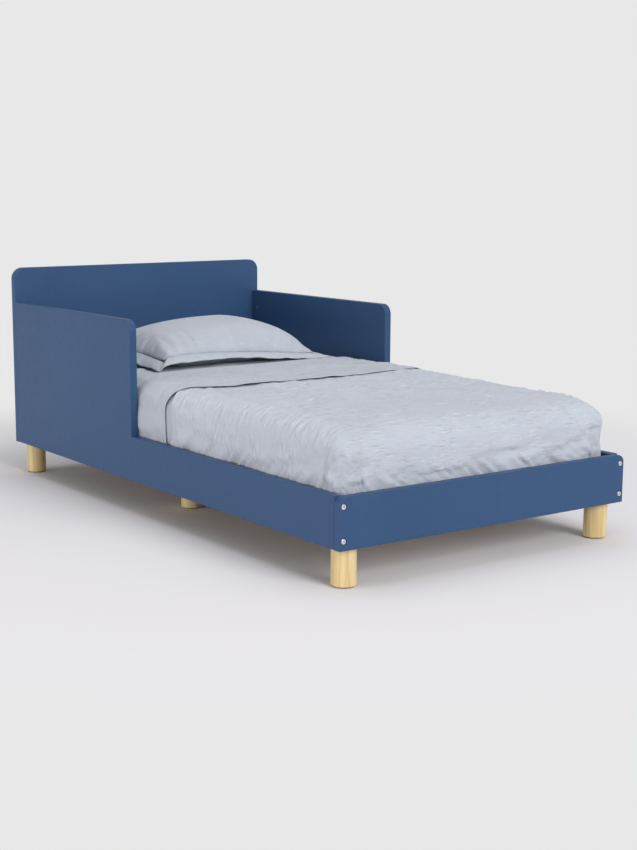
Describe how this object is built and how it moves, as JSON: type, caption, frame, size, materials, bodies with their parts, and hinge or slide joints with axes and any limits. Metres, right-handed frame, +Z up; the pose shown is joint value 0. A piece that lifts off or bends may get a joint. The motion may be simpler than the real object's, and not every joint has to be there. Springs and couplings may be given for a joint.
{
  "type": "toddler bed",
  "caption": "Low toddler bed: painted board frame with L-shaped guard sides and round wooden legs, slatted base, mattress, tucked coverlet, turned-down sheet and flanged pillow.",
  "frame": {"origin": "on the floor, under the middle of the bed's outline", "axes": "+Y along the bed towards the headboard, +X across the bed, +Z up"},
  "size_m": [0.737, 1.378, 0.52],
  "materials": {
    "blue_board": "satin",
    "leg_wood": "satin",
    "base_pine": "matte",
    "dowel_beech": "matte",
    "zinc_steel": "satin",
    "glide_plastic": "matte",
    "mattress_ticking": "matte",
    "sheet_cotton": "matte",
    "coverlet_cotton": "matte",
    "pillow_ticking": "matte",
    "sham_cotton": "matte"
  },
  "bodies": {
    "frame": {"alignment_dowels": "dowel_beech", "barrel_nuts": "zinc_steel", "bracket_screws": "zinc_steel", "cleat_screws": "zinc_steel", "corner_block_screws": "zinc_steel", "cross_beam": "base_pine", "foot_left_glide": "glide_plastic", "foot_left_leg": "leg_wood", "foot_right_glide": "glide_plastic", "foot_right_leg": "leg_wood", "footboard": "blue_board", "footboard_bolts": "zinc_steel", "head_left_glide": "glide_plastic", "head_left_leg": "leg_wood", "head_right_glide": "glide_plastic", "head_right_leg": "leg_wood", "headboard": "blue_board", "headboard_bolts": "zinc_steel", "left_foot_beam_bracket": "zinc_steel", "left_foot_cleat": "base_pine", "left_foot_corner_block": "base_pine", "left_head_beam_bracket": "zinc_steel", "left_head_cleat": "base_pine", "left_head_corner_block": "base_pine", "left_side_panel": "blue_board", "leg_hanger_bolts": "zinc_steel", "leg_threaded_inserts": "zinc_steel", "middle_left_glide": "glide_plastic", "middle_left_leg": "leg_wood", "middle_right_glide": "glide_plastic", "middle_right_leg": "leg_wood", "right_foot_beam_bracket": "zinc_steel", "right_foot_cleat": "base_pine", "right_foot_corner_block": "base_pine", "right_head_beam_bracket": "zinc_steel", "right_head_cleat": "base_pine", "right_head_corner_block": "base_pine", "right_side_panel": "blue_board", "slat_01": "base_pine", "slat_02": "base_pine", "slat_03": "base_pine", "slat_04": "base_pine", "slat_05": "base_pine", "slat_06": "base_pine", "slat_07": "base_pine", "slat_08": "base_pine", "slat_09": "base_pine", "slat_10": "base_pine", "slat_screws": "zinc_steel"},
    "mattress": {"mattress": "mattress_ticking", "fitted_sheet": "sheet_cotton", "coverlet": "coverlet_cotton", "top_sheet": "sheet_cotton"},
    "pillow": {"pillow_insert": "pillow_ticking", "pillow_sham": "sham_cotton"}
  },
  "joints": [
    {"name": "mattress_lift", "type": "slide", "parent": "frame", "child": "mattress", "axis": [0, 0, 1], "range_m": [0, 0.4]},
    {"name": "pillow_lift", "type": "slide", "parent": "mattress", "child": "pillow", "axis": [0, 0, 1], "range_m": [0, 0.25]}
  ]
}
